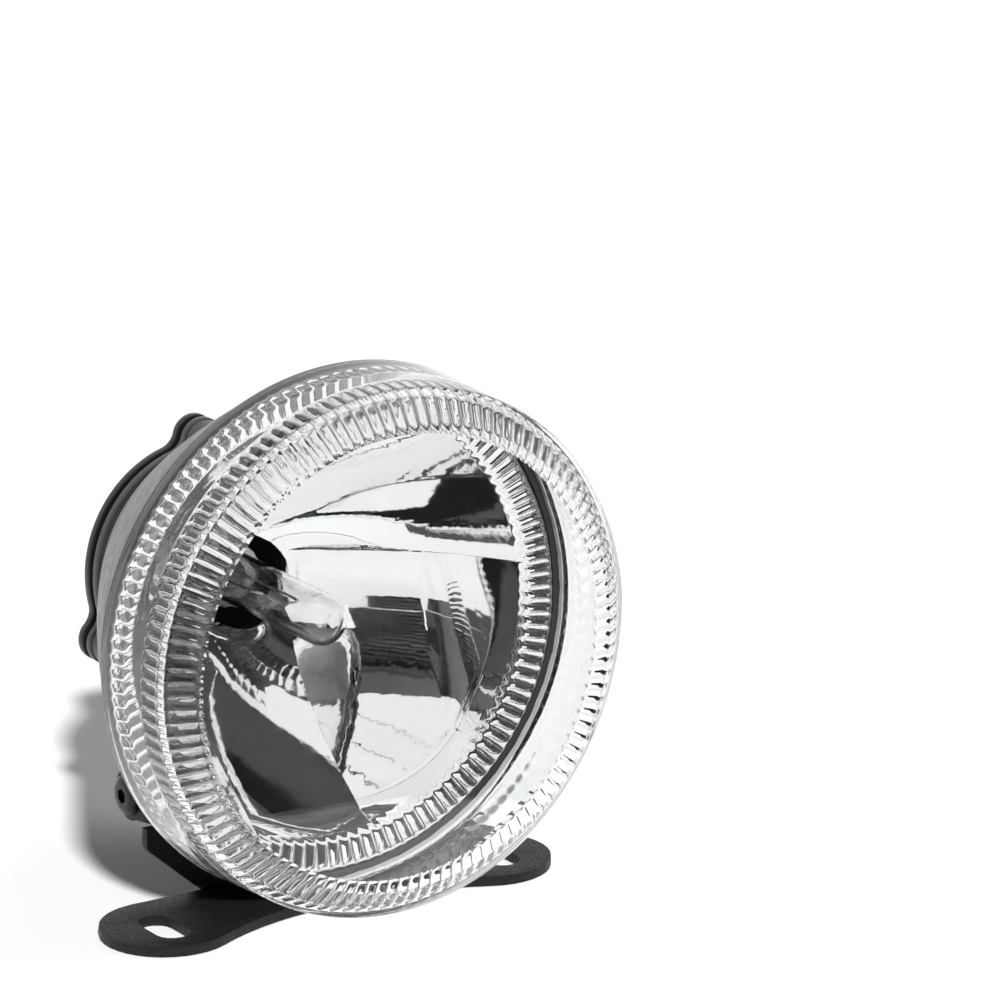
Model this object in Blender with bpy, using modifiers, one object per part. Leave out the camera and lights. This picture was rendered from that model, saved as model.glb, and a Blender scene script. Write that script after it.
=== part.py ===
"""Round clear-lens fog light on a folded steel foot bracket, with its bulb and fixings.

Metres, +Z up. The origin is on the foot's underside, midway between its two slots.
The lens faces -Y. Pieces of the lamp are drawn on the lamp axis: a station is the
distance behind the lens's rear rim, negative towards the front, and r is a radius.
"""

import math

import bmesh
import bpy
from mathutils import Matrix, Vector

# Driving dimensions
AXIS_Z = 0.0585  # lamp axis above the foot's underside
RIM_Y = -0.0047  # plane of the lens's rear rim, station 0
LENS_R = 0.0550
SHEET = 0.0020  # thickness of the bracket's steel
GAP = 0.0003  # clearance left between touching pieces
BIG, MIDDLE, SMALL = 48, 32, 16  # segments round large, middle and small turned pieces
PIVOT_STEPS = 24  # segments round the pivot's pieces and the bulb's glass
AXIS_MERGE = 1e-5

# Lens
LENS_SHOULDER_S, LENS_SHOULDER_R = -0.0199, 0.0539
LENS_WINDOW_S, LENS_WINDOW_R = -0.02475, 0.0474
LENS_WALL = 0.0031
LENS_CROWN = 0.0010  # how far the window's middle stands forward of its edge
SEAL_R = (0.0519, 0.0529)  # inner and outer radius of the seal behind the lens's rim

# Reflector: a paraboloid cut off by a nearly flat outer ring
FOCAL_LENGTH = 0.0138
FOCUS_S = 0.0250
DISH_R = 0.0445
RING_S, RING_R = 0.0013, 0.0500
BULB_HOLE_R = 0.0095
REFLECTOR_NECK_S = 0.0470
REFLECTOR_WALL = 0.0015

# Body shell: a convex cone from the lens to the rear flange
SHELL_FRONT_S, SHELL_RIM_R, SHELL_RIM_S = 0.0018, 0.0530, 0.0036
CONE_S, CONE_R = 0.0040, 0.0524
CONE_SLOPE, CONE_BOW = 0.4693, 1.974  # radius lost per metre, and per metre squared
CONE_END_S = 0.0545
SHELL_WALL = 0.0022
SEAT_R, SEAT_S = 0.0506, 0.0034  # the pocket that holds the reflector's rim
INNER_LEDGE_R = 0.0492
INNER_CONE_S = (0.0060, 0.0440)
REAR_BORE_R, REAR_BORE_S = 0.0215, 0.0465
PAST = 0.0015  # how far a cutter runs past the face that it opens

# Rear flange with three lugs, repeated on the shell and on the rear housing
FLANGE_R = 0.0257
FLANGE_S = (0.0535, 0.0555)
LUG_CENTRE_R, LUG_R, LUG_FILLET = 0.0264, 0.0046, 0.0040
LUG_ANGLES = (90, 210, 330)
BOSS_R, BOSS_FRONT_S = 0.0043, 0.0495
OVERLAP = 0.0010  # how far joined shapes reach into each other
HOUSING_S = (0.0569, 0.0589)
SCREW_INSERT_S, SCREW_INSERT_R = (0.0507, 0.0552), (0.0022, 0.0030)
INSERT_HOLE_R, INSERT_HOLE_S = 0.0033, 0.0504
SCREW_HOLE_R = 0.0023
VENT_ANGLE, VENT_RADIUS = 270, 0.0198
GASKET_R = (0.0219, 0.0237)

# Bulb socket in the rear housing, and the bulb
SOCKET_FRONT_S, SOCKET_REAR_S = 0.0500, 0.0662
LEDGE_S = (0.0520, 0.0540)
LEDGE_R, SOCKET_BORE_R, RECESS_R = 0.0099, 0.0116, 0.0123
TAB_S = (0.0503, 0.0517)
TAB_R, TAB_WIDTH = 0.0119, 0.0050
TAB_ANGLES = (90, 210, 330)
BULB_TURN = 40  # degrees from locked to the release notches, counter-clockwise from behind
SLEEVE_R, BARREL_R = 0.0145, 0.0155
GLASS_R, GLASS_WALL = 0.0053, 0.0009
GLASS_TIP_S, GLASS_REAR_S, GLASS_DOME = 0.0045, 0.0520, 0.0040
WIRE_END_S = 0.0526
COLLAR_R, COLLAR_REAR_S = 0.0080, 0.0557
SHROUD = (0.0170, 0.0110)  # outer width and height of the connector shroud
SHROUD_S = (0.0680, 0.0840)
SHROUD_WALL = 0.0018

# Tilt pivot: two bolts on one axis across the lamp, low behind the lens
PIVOT_S, PIVOT_Z = 0.0295, 0.0213
PIVOT_Y = PIVOT_S + RIM_Y
PIVOT_BOSS_R, PIVOT_BOSS_START, PIVOT_BOSS_END = 0.0050, 0.0080, 0.0294
WEB_SIZE, WEB_X, WEB_RISE = (0.0150, 0.0026, 0.0115), 0.0185, 0.0060
PIVOT_INSERT_S, PIVOT_INSERT_R = (0.0236, 0.0291), (0.0027, 0.0034)
PIVOT_HOLE_S, PIVOT_HOLE_R = 0.0232, 0.0037
WASHER_S, WASHER_R = (0.0297, 0.0302), (0.0028, 0.0049)

# Bracket, drawn flat and folded
FOOT_EAR = (0.0377, 0.0013)  # centre of each rounded foot
FOOT_EAR_R = 0.0135
SLOT_X, SLOT_WIDTH, SLOT_LENGTH = 0.0390, 0.0072, 0.0138
WAIST_Y, WAIST_R = -0.0037, 0.0600
BEND_R = 0.0030  # outer radius of the folds
FOLD_Y = 0.0148  # where the foot starts to fold up
UPRIGHT_Y = FOLD_Y + BEND_R  # rear face of the upright
UPRIGHT_HALF_WIDTH = 0.0336
CRADLE_R = 0.0465  # the upright's top edge, round the lamp axis
EAR_FOLD_X = 0.0295  # where each side ear starts to fold back
EAR_R, EAR_HOLE_R = 0.0054, 0.0028
CORNER_TOP_Z, EAR_BOTTOM_Z = 0.0166, 0.0174  # the relief between upright and ear
NOTCH_DEPTH = 0.0004
FOLD_STEPS = 4
EDGE = 1e-5

COLLECTION = bpy.data.collections.new("fog_light")
CUTTERS = bpy.data.collections.new("cutters")

LAMP = Matrix.Translation((0, RIM_Y, AXIS_Z)) @ Matrix.Rotation(-math.pi / 2, 4, "X")
PI = math.pi


# ---------------------------------------------------------------- scene and materials


def clear_scene():
    for obj in list(bpy.data.objects):
        bpy.data.objects.remove(obj, do_unlink=True)
    bpy.context.scene.collection.children.link(COLLECTION)
    bpy.context.scene.collection.children.link(CUTTERS)
    CUTTERS.hide_render = True


def material(name, colour, roughness, metallic=0.0, transmission=0.0):
    made = bpy.data.materials.new(name)
    made.use_nodes = True
    shader = made.node_tree.nodes["Principled BSDF"]
    shader.inputs["Base Color"].default_value = (*colour, 1.0)
    shader.inputs["Roughness"].default_value = roughness
    shader.inputs["Metallic"].default_value = metallic
    shader.inputs["Transmission Weight"].default_value = transmission
    return made


# ---------------------------------------------------------------- helpers


def add_object(name, data, place, look=None, collection=COLLECTION):
    obj = bpy.data.objects.new(name, data)
    collection.objects.link(obj)
    obj.matrix_world = place
    if look:
        data.materials.append(look)
    if collection is CUTTERS:
        obj.hide_render = True
        obj.display_type = "WIRE"
    return obj


def helper(name, data, place):
    return add_object(name, data, place, collection=CUTTERS)


def profile_mesh(name, points):
    """A closed or axis-to-axis outline of (station, r), turned so that it faces out."""
    area = sum(
        s0 * r1 - s1 * r0
        for (s0, r0), (s1, r1) in zip(points, points[1:] + points[:1])
    )
    ordered = points if area > 0 else points[::-1]
    on_axis = [i for i, (_, r) in enumerate(ordered) if r == 0]
    if on_axis:
        # start at the rear end of the axis, so that the open side of the outline is the axis
        start = max(on_axis, key=lambda i: ordered[i][0])
        ordered = ordered[start:] + ordered[:start]
    count = len(ordered)
    edges = [(i, i + 1) for i in range(count - 1)]
    if not on_axis:
        edges.append((count - 1, 0))
    mesh = bpy.data.meshes.new(name)
    mesh.from_pydata([(r, 0, s) for s, r in ordered], edges, [])
    return mesh


def add_screw(obj, steps):
    screw = obj.modifiers.new("Turned", "SCREW")
    screw.steps = screw.render_steps = steps
    screw.use_merge_vertices = True
    screw.merge_threshold = AXIS_MERGE
    screw.use_smooth_shade = True


def turned(name, points, steps, look=None, place=LAMP):
    """A solid turned about the local Z axis; without a look it is a helper."""
    mesh = profile_mesh(name, points)
    obj = add_object(name, mesh, place, look) if look else helper(name, mesh, place)
    add_screw(obj, steps)
    return obj


def ring(s0, s1, r0, r1):
    """The outline of a plain ring between two stations and two radii."""
    return [(s0, r0), (s0, r1), (s1, r1), (s1, r0)]


def rod(name, radius, s0, s1, steps, look=None, place=LAMP):
    return turned(name, [(s0, 0), (s0, radius), (s1, radius), (s1, 0)], steps, look, place)


def box(name, size, centre, place):
    mesh = bpy.data.meshes.new(name)
    shape = bmesh.new()
    bmesh.ops.create_cube(
        shape, size=1, matrix=Matrix.Translation(centre) @ Matrix.Diagonal((*size, 1))
    )
    shape.to_mesh(mesh)
    shape.free()
    return helper(name, mesh, place)


def boolean(obj, operation, others):
    for other in others:
        modifier = obj.modifiers.new(other.name, "BOOLEAN")
        modifier.operation = operation
        modifier.solver = "EXACT"
        modifier.object = other


def cut(obj, *others):
    boolean(obj, "DIFFERENCE", others)


def join(obj, *others):
    boolean(obj, "UNION", others)


def about(angle, radius, base=LAMP):
    """A place parallel to the lamp axis, at this angle and radius round it."""
    turn = math.radians(angle)
    # local Y points down once the axis is laid along +Y, so angles count from +X towards +Z
    return base @ Matrix.Translation((radius * math.cos(turn), -radius * math.sin(turn), 0))


def facing(angle):
    """The lamp axis, turned so that local +X points out at this angle."""
    return LAMP @ Matrix.Rotation(-math.radians(angle), 4, "Z")


def arc(centre, radius, start, end, steps):
    """Points along a circle, angles in degrees."""
    turns = [math.radians(start + (end - start) * i / steps) for i in range(steps + 1)]
    return [
        (centre[0] + radius * math.cos(t), centre[1] + radius * math.sin(t)) for t in turns
    ]


def flat_curve(name, outlines, half_thickness=0.0):
    """Closed outlines filled as one flat plate; those inside the first are holes."""
    curve = bpy.data.curves.new(name, "CURVE")
    curve.dimensions = "2D"
    curve.fill_mode = "BOTH"
    curve.extrude = half_thickness
    for outline in outlines:
        spline = curve.splines.new("POLY")
        spline.points.add(len(outline) - 1)
        for point, (x, y) in zip(spline.points, outline):
            point.co = (x, y, 0, 1)
        spline.use_cyclic_u = True
    return curve


def mesh_of_curve(name, curve, weld=1e-6):
    """The curve as a mesh, with the loose edges of its caps welded."""
    obj = helper(name, curve, Matrix())
    graph = bpy.context.evaluated_depsgraph_get()
    mesh = bpy.data.meshes.new_from_object(obj.evaluated_get(graph))
    bpy.data.objects.remove(obj, do_unlink=True)
    shape = bmesh.new()
    shape.from_mesh(mesh)
    bmesh.ops.remove_doubles(shape, verts=shape.verts, dist=weld)
    shape.to_mesh(mesh)
    shape.free()
    mesh.name = name
    return mesh


def wire(name, points, radius, look, place=LAMP):
    """A round wire through (x, y, station) points, with flat ends."""
    curve = bpy.data.curves.new(name, "CURVE")
    curve.dimensions = "3D"
    curve.bevel_depth = radius
    curve.bevel_resolution = 2
    curve.use_fill_caps = True
    spline = curve.splines.new("POLY")
    spline.points.add(len(points) - 1)
    for point, co in zip(spline.points, points):
        point.co = (*co, 1)
    return add_object(name, curve, place, look)


# ---------------------------------------------------------------- lens and reflector


def make_lens(glass, sealant):
    # the bevel's wall is set back by these amounts to keep its thickness
    shoulder_set_back, window_set_in = 0.0023, 0.0019
    shoulder_inner = (LENS_SHOULDER_S + shoulder_set_back, LENS_SHOULDER_R - LENS_WALL)
    window_inner = (LENS_WINDOW_S + LENS_WALL, LENS_WINDOW_R - window_set_in)
    crown_s = LENS_WINDOW_S - LENS_CROWN
    # one point of the window's shallow dome, where its depth is the share squared
    share = 0.6
    half_s, half_r = crown_s + share**2 * LENS_CROWN, LENS_WINDOW_R * share
    turned(
        "lens",
        [
            (crown_s, 0),
            (half_s, half_r),
            (LENS_WINDOW_S, LENS_WINDOW_R),
            (LENS_SHOULDER_S, LENS_SHOULDER_R),
            (0, LENS_R),
            (0, LENS_R - LENS_WALL),
            shoulder_inner,
            window_inner,
            (half_s + LENS_WALL, half_r),
            (crown_s + LENS_WALL, 0),
        ],
        BIG,
        glass,
    )
    turned("lens_seal", ring(GAP, SHELL_FRONT_S - GAP, *SEAL_R), BIG, sealant)


def dish_station(r):
    """Station of the paraboloid at this radius."""
    return FOCUS_S + FOCAL_LENGTH - r * r / (4 * FOCAL_LENGTH)


def walled(line, wall):
    """The closed outline of a wall built on the left of an open line of (station, r)."""
    offset = []
    for i, (s, r) in enumerate(line):
        before, after = line[max(i - 1, 0)], line[min(i + 1, len(line) - 1)]
        along = Vector((after[0] - before[0], after[1] - before[1])).normalized()
        offset.append((s - along.y * wall, r + along.x * wall))
    return line + offset[::-1]


def make_reflector(chrome):
    steps = 6
    dish = [
        (dish_station(r), r)
        for r in (DISH_R + (BULB_HOLE_R - DISH_R) * i / steps for i in range(steps + 1))
    ]
    line = [(RING_S, RING_R), *dish, (REFLECTOR_NECK_S, BULB_HOLE_R)]
    turned("reflector", walled(line, REFLECTOR_WALL), BIG, chrome)


# ---------------------------------------------------------------- body shell


def cone_radius(s):
    return CONE_R - CONE_SLOPE * (s - CONE_S) - CONE_BOW * (s - CONE_S) ** 2


def flange_outline():
    """A disc with three rounded lugs, each blended into the disc by two fillets."""
    near, far = FLANGE_R + LUG_FILLET, LUG_R + LUG_FILLET
    # angle at the axis between a lug's centre and the centre of its fillet
    spread = math.acos(
        (LUG_CENTRE_R**2 + near**2 - far**2) / (2 * LUG_CENTRE_R * near)
    )
    points = []
    for angle in LUG_ANGLES:
        lug = math.radians(angle)
        centre = Vector((math.cos(lug), math.sin(lug))) * LUG_CENTRE_R
        for side in (-1, 1):
            turn = lug + side * spread
            fillet = Vector((math.cos(turn), math.sin(turn))) * near
            at_lug = math.degrees(math.atan2(*(centre - fillet).yx))
            at_disc = math.degrees(turn) + 180
            sweep = (at_lug - at_disc + 180) % 360 - 180
            blend = arc(fillet, LUG_FILLET, at_disc, at_disc + sweep, 5)
            if side < 0:
                points += blend
                start = math.degrees(math.atan2(*(fillet - centre).yx))
                half = (angle - start) % 360
                points += arc(centre, LUG_R, angle - half, angle + half, 12)[1:-1]
            else:
                points += blend[::-1]
                rest = angle + 120 - math.degrees(spread)
                points += arc((0, 0), FLANGE_R, math.degrees(turn), rest, 12)[1:-1]
    return points


def flange_plate(name, s0, s1, look=None):
    """The lugged plate between two stations."""
    mesh = mesh_of_curve(name, flat_curve(name, [flange_outline()], (s1 - s0) / 2))
    # the outline's second axis is up, and the lamp's local Y is down
    place = LAMP @ Matrix.Translation((0, 0, (s0 + s1) / 2)) @ Matrix.Rotation(PI, 4, "X")
    return add_object(name, mesh, place, look) if look else helper(name, mesh, place)


def outward(side):
    """The tilt axis, with local +Z pointing out to this side."""
    return Matrix.Translation((0, PIVOT_Y, PIVOT_Z)) @ Matrix.Rotation(
        side * PI / 2, 4, "Y"
    )


def make_body_shell(plastic):
    steps = 6
    stations = [CONE_S + (CONE_END_S - CONE_S) * i / steps for i in range(steps + 1)]
    outer = [(SHELL_FRONT_S, 0), (SHELL_FRONT_S, SHELL_RIM_R), (SHELL_RIM_S, SHELL_RIM_R)]
    outer += [(s, cone_radius(s)) for s in stations] + [(CONE_END_S, 0)]
    shell = turned("body_shell", outer, BIG, plastic)

    join(shell, flange_plate("shell_flange", *FLANGE_S))
    for angle in LUG_ANGLES:
        boss_end = FLANGE_S[1] - OVERLAP
        place = about(angle, LUG_CENTRE_R)
        join(shell, rod(f"lug_boss_{angle}", BOSS_R, BOSS_FRONT_S, boss_end, SMALL, None, place))
    for side in (-1, 1):
        place = outward(side)
        boss_s = (PIVOT_BOSS_START, PIVOT_BOSS_END)
        boss = rod(f"pivot_boss_{side}", PIVOT_BOSS_R, *boss_s, PIVOT_STEPS, None, place)
        web_centre = (side * WEB_X, PIVOT_Y, PIVOT_Z + WEB_RISE)
        join(shell, boss, box(f"pivot_web_{side}", WEB_SIZE, web_centre, Matrix()))

    first, last = INNER_CONE_S
    inner_stations = [first + (last - first) * i / steps for i in range(steps + 1)]
    front, rear = SHELL_FRONT_S - PAST, FLANGE_S[1] + PAST
    hollow = [(front, 0), (front, SEAT_R), (SEAT_S, SEAT_R), (SEAT_S, INNER_LEDGE_R)]
    hollow += [(s, cone_radius(s) - SHELL_WALL) for s in inner_stations]
    hollow += [(REAR_BORE_S, REAR_BORE_R), (rear, REAR_BORE_R), (rear, 0)]
    cut(shell, turned("shell_hollow", hollow, BIG))
    for angle in LUG_ANGLES:
        place = about(angle, LUG_CENTRE_R)
        name = f"insert_hole_{angle}"
        cut(shell, rod(name, INSERT_HOLE_R, INSERT_HOLE_S, rear, SMALL, None, place))
    for side in (-1, 1):
        hole_s = (PIVOT_HOLE_S, PIVOT_BOSS_END + PAST)
        cut(shell, rod(f"pivot_hole_{side}", PIVOT_HOLE_R, *hole_s, SMALL, None, outward(side)))


# ---------------------------------------------------------------- rear housing


def make_rear_housing(plastic, rubber):
    housing = flange_plate("rear_housing", *HOUSING_S, plastic)
    inside_plate = HOUSING_S[0] + OVERLAP
    barrel_start = HOUSING_S[0] + OVERLAP / 2
    vent = about(VENT_ANGLE, VENT_RADIUS)
    nipple_start, nipple_end, nipple_r, vent_hole_r = 0.0584, 0.0635, 0.0022, 0.0010
    join(
        housing,
        rod("socket_sleeve", SLEEVE_R, SOCKET_FRONT_S, inside_plate, MIDDLE),
        rod("socket_barrel", BARREL_R, barrel_start, SOCKET_REAR_S, MIDDLE),
        rod("vent_nipple", nipple_r, nipple_start, nipple_end, SMALL, None, vent),
    )
    bore = [
        (SOCKET_FRONT_S - PAST, 0),
        (SOCKET_FRONT_S - PAST, RECESS_R),
        (LEDGE_S[0], RECESS_R),
        (LEDGE_S[0], LEDGE_R),
        (LEDGE_S[1], LEDGE_R),
        (LEDGE_S[1], SOCKET_BORE_R),
        (SOCKET_REAR_S + PAST, SOCKET_BORE_R),
        (SOCKET_REAR_S + PAST, 0),
    ]
    cut(housing, turned("socket_bore", bore, MIDDLE))
    notch_size = (0.0042, TAB_WIDTH + 2 * GAP, LEDGE_S[1] - LEDGE_S[0] + OVERLAP)
    notch_centre = (0.0101, 0, sum(LEDGE_S) / 2)
    for angle in TAB_ANGLES:
        place = facing(angle - BULB_TURN)
        cut(housing, box(f"release_notch_{angle}", notch_size, notch_centre, place))
    plate_s = (HOUSING_S[0] - PAST, HOUSING_S[1] + PAST)
    for angle in LUG_ANGLES:
        place = about(angle, LUG_CENTRE_R)
        cut(housing, rod(f"screw_hole_{angle}", SCREW_HOLE_R, *plate_s, SMALL, None, place))
    cut(housing, rod("vent_hole", vent_hole_r, plate_s[0], nipple_end + PAST, SMALL, None, vent))

    gasket = ring(FLANGE_S[1] + GAP, HOUSING_S[0] - GAP, *GASKET_R)
    turned("housing_gasket", gasket, BIG, rubber)
    cap_start, cap_end, cap_r, chamfer = HOUSING_S[1] + 0.0007, 0.0656, 0.0034, 0.0006
    roof_s, bore_r = nipple_end + 2 * GAP, nipple_r + GAP
    cap = [
        (cap_start, bore_r),
        (cap_start, cap_r),
        (cap_end - chamfer, cap_r),
        (cap_end, cap_r - chamfer),
        (cap_end, 0),
        (roof_s, 0),
        (roof_s, bore_r),
    ]
    turned("vent_cap", cap, SMALL, rubber, vent)


def make_housing_screws(steel, brass):
    tip_s, tip_chamfer, shank_r = 0.0510, 0.0005, 0.0019
    head_s, head_r, rim, shoulder, dome = HOUSING_S[1] + GAP, 0.0036, 0.0012, 0.0021, 0.0024
    recess, recess_rise = (0.0036, 0.0008, 0.0030), 0.0027
    profile = [
        (tip_s, 0),
        (tip_s, shank_r - tip_chamfer),
        (tip_s + tip_chamfer, shank_r),
        (head_s, shank_r),
        (head_s, head_r),
        (head_s + rim, head_r),
        (head_s + shoulder, head_r - OVERLAP),
        (head_s + dome, 0),
    ]
    for number, angle in enumerate(LUG_ANGLES, 1):
        place = about(angle, LUG_CENTRE_R)
        insert = ring(*SCREW_INSERT_S, *SCREW_INSERT_R)
        turned(f"housing_insert_{number}", insert, SMALL, brass, place)
        screw = turned(f"housing_screw_{number}", profile, SMALL, steel, place)
        for turn in (0, 90):
            slot_place = place @ Matrix.Rotation(math.radians(turn), 4, "Z")
            name = f"drive_slot_{number}_{turn}"
            cut(screw, box(name, recess, (0, 0, head_s + recess_rise), slot_place))


# ---------------------------------------------------------------- pivot fixings


def make_pivot_fixings(steel, brass, nylon):
    tip_s, tip_chamfer, shank_r = 0.0240, 0.0005, 0.0024
    head_s, head_r, rim, shoulder, dome = EAR_FOLD_X + BEND_R + GAP, 0.0042, 0.0007, 0.0014, 0.0016
    crown_r, hex_r, hex_floor, hexagon = 0.0030, 0.0016, 0.0006, 6
    profile = [
        (tip_s, 0),
        (tip_s, shank_r - tip_chamfer),
        (tip_s + tip_chamfer, shank_r),
        (head_s, shank_r),
        (head_s, head_r),
        (head_s + rim, head_r),
        (head_s + shoulder, crown_r),
        (head_s + dome, 0),
    ]
    for side, hand in ((-1, "left"), (1, "right")):
        place = outward(side)
        insert = ring(*PIVOT_INSERT_S, *PIVOT_INSERT_R)
        turned(f"pivot_insert_{hand}", insert, SMALL, brass, place)
        turned(f"pivot_washer_{hand}", ring(*WASHER_S, *WASHER_R), PIVOT_STEPS, nylon, place)
        bolt = turned(f"pivot_bolt_{hand}", profile, PIVOT_STEPS, steel, place)
        socket_s = (head_s + hex_floor, head_s + dome + PAST)
        cut(bolt, rod(f"hex_socket_{hand}", hex_r, *socket_s, hexagon, None, place))


# ---------------------------------------------------------------- bulb


def make_capsule(glass):
    """The bulb's tube of quartz, closed at the front by a dome and open at the rear."""
    inner = GLASS_R - GLASS_WALL
    outer = [
        (GLASS_TIP_S + GLASS_DOME * (1 + x), GLASS_R * y)
        for x, y in arc((0, 0), 1, 180, 90, 5)
    ]
    cavity = [(s + GLASS_WALL * (1 - r / GLASS_R), r * inner / GLASS_R) for s, r in outer]
    outer[0] = (outer[0][0], 0)
    cavity[0] = (cavity[0][0], 0)
    profile = outer + [(GLASS_REAR_S, GLASS_R), (GLASS_REAR_S, inner)] + cavity[::-1]
    turned("bulb_glass", profile, PIVOT_STEPS, glass)


def make_filament(tungsten, metal):
    """The coil across the focus and the two wires that hold it."""
    turns, per_turn, coil_r, coil_length = 6, 8, 0.0010, 0.0054
    count = turns * per_turn
    coil = [
        (
            coil_r * math.cos(2 * PI * i / per_turn),
            coil_r * math.sin(2 * PI * i / per_turn),
            FOCUS_S + coil_length * (i / count - 0.5),
        )
        for i in range(count + 1)
    ]
    wire("bulb_filament", coil, 0.00018, tungsten)
    front_s, rear_s = FOCUS_S - 0.0040, FOCUS_S + 0.0042
    wire_r, long_x, short_x = 0.0003, 0.0028, -0.0020
    bend = 0.0008  # how far each wire slants in to the coil's end
    long_wire = [
        (long_x, 0, WIRE_END_S),
        (long_x, 0, front_s + bend),
        (long_x - bend, 0, front_s),
        (0, 0, front_s),
    ]
    wire("filament_support_long", long_wire, wire_r, metal)
    short_wire = [(short_x, 0, WIRE_END_S), (short_x, 0, rear_s + 0.0030), (-bend, 0, rear_s)]
    wire("filament_support_short", short_wire, wire_r, metal)


def make_bulb_collar(metal):
    """The metal cup that grips the capsule's rear end."""
    front_s, rear_s, floor_s = 0.0450, COLLAR_REAR_S, 0.0530
    bore_r, lip_r, outer_r, lip = GLASS_R + 0.0004, 0.0074, COLLAR_R, 0.0012
    collar = [
        (front_s, bore_r),
        (front_s, lip_r),
        (front_s + lip, outer_r),
        (rear_s, outer_r),
        (rear_s, 0),
        (floor_s, 0),
        (floor_s, bore_r),
    ]
    turned("bulb_collar", collar, MIDDLE, metal)


def make_bulb_base(plastic, metal, rubber):
    """The plastic base with its tabs, O-ring groove, grip flange and plug shroud."""
    cup_r, skirt_r, body_r = COLLAR_R + 0.0004, 0.0095, 0.0111
    cup_s, skirt_s, skirt_end = COLLAR_REAR_S + GAP, 0.0502, 0.0544
    groove_r, groove_s = 0.0093, (0.0580, 0.0608)
    grip_r, grip_s = 0.0145, (0.0666, 0.0690)
    profile = [
        (cup_s, 0),
        (cup_s, cup_r),
        (skirt_s, cup_r),
        (skirt_s, skirt_r),
        (skirt_end, skirt_r),
        (skirt_end, body_r),
        (groove_s[0], body_r),
        (groove_s[0], groove_r),
        (groove_s[1], groove_r),
        (groove_s[1], body_r),
        (grip_s[0], body_r),
        (grip_s[0], grip_r),
        (grip_s[1], grip_r),
        (grip_s[1], 0),
    ]
    base = turned("bulb_base", profile, MIDDLE, plastic)
    tab_depth = 0.0030
    tab_size = (tab_depth, TAB_WIDTH, TAB_S[1] - TAB_S[0])
    tab_centre = (TAB_R - tab_depth / 2, 0, sum(TAB_S) / 2)
    for angle in TAB_ANGLES:
        join(base, box(f"tab_{angle}", tab_size, tab_centre, facing(angle)))
    width, height = SHROUD
    length = SHROUD_S[1] - SHROUD_S[0]
    join(base, box("shroud", (width, height, length), (0, 0, sum(SHROUD_S) / 2), LAMP))
    floor_s, depth = 0.0710, length - 0.0010
    socket_size = (width - 2 * SHROUD_WALL, height - 2 * SHROUD_WALL, depth)
    cut(base, box("plug_socket", socket_size, (0, 0, floor_s + depth / 2), LAMP))
    blade_x, blade_size, blade_s = 0.0040, (0.0008, 0.0028, 0.0140), 0.0735
    slot_size, slot_s = (0.0016, 0.0036, 0.0060), grip_s[1]
    for side, hand in ((-1, "left"), (1, "right")):
        slot_x = side * blade_x
        cut(base, box(f"blade_slot_{hand}", slot_size, (slot_x, 0, slot_s), LAMP))
        blade = box(f"bulb_terminal_{hand}", blade_size, (slot_x, 0, blade_s), LAMP)
        CUTTERS.objects.unlink(blade)
        COLLECTION.objects.link(blade)
        blade.hide_render = False
        blade.display_type = "TEXTURED"
        blade.data.materials.append(metal)

    centre_s, centre_r, section_r = sum(groove_s) / 2, 0.0104, 0.00095
    section = [(centre_s + x, centre_r + y) for x, y in arc((0, 0), section_r, 0, 315, 7)]
    turned("bulb_o_ring", section, MIDDLE, rubber)


# ---------------------------------------------------------------- bracket


FOLD_LENGTH = BEND_R * PI / 2  # along the foot's underside and the upright's rear face
INNER_R = BEND_R - SHEET
EAR_FOLD_LENGTH = INNER_R * PI / 2  # along the ear's inboard face
UP = FOLD_Y + FOLD_LENGTH - BEND_R  # flat length to a point = its height + UP


def ear_u(y):
    """Flat distance from the middle to a point of the side ear at this depth."""
    return EAR_FOLD_X + EAR_FOLD_LENGTH + y - (UPRIGHT_Y + INNER_R)


def bracket_half():
    """The flat sheet's right-hand edge, from the front middle to the top middle."""
    ear_x, ear_y = FOOT_EAR
    # the waist's long arc meets the rounded foot's arc at a tangent
    waist_dy = ear_y - (WAIST_Y - WAIST_R)
    waist_dx = math.sqrt((WAIST_R + FOOT_EAR_R) ** 2 - waist_dy**2)
    waist = (ear_x - waist_dx, WAIST_Y - WAIST_R)
    meet = math.degrees(math.atan2(waist_dy, waist_dx))
    points = arc(waist, WAIST_R, 90, meet, 7)
    points += arc(FOOT_EAR, FOOT_EAR_R, meet - 180, 90, 20)[1:]
    # rounded corner where the foot's rear edge turns into the upright's sloping edge
    slope, fillet_r, fillet_x = 41, 0.0018, 0.0223
    fillet = (fillet_x, FOLD_Y + fillet_r)
    points += arc(fillet, fillet_r, 270, 90 + slope, 6)
    corner_r, corner_z = 0.0015, 0.0130
    corner = (UPRIGHT_HALF_WIDTH - corner_r, UP + corner_z)
    points += arc(corner, corner_r, slope - 90, 0, 3)
    # relief between the upright's corner and the folded ear
    notch_x = EAR_FOLD_X - NOTCH_DEPTH
    points += [
        (UPRIGHT_HALF_WIDTH, UP + CORNER_TOP_Z),
        (notch_x, UP + CORNER_TOP_Z),
        (notch_x, UP + EAR_BOTTOM_Z),
    ]
    pivot = (ear_u(PIVOT_Y), UP + PIVOT_Z)
    points += arc(pivot, EAR_R, -120, 130, 14)
    cradle_end = math.degrees(math.asin(EAR_FOLD_X / CRADLE_R))
    points += arc((0, UP + AXIS_Z), CRADLE_R, cradle_end - 90, -90, 8)
    return points


def slot_outline(x):
    half = (SLOT_LENGTH - SLOT_WIDTH) / 2
    radius = SLOT_WIDTH / 2
    return arc((x, half), radius, 0, 180, 8) + arc((x, -half), radius, 180, 360, 8)


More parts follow.
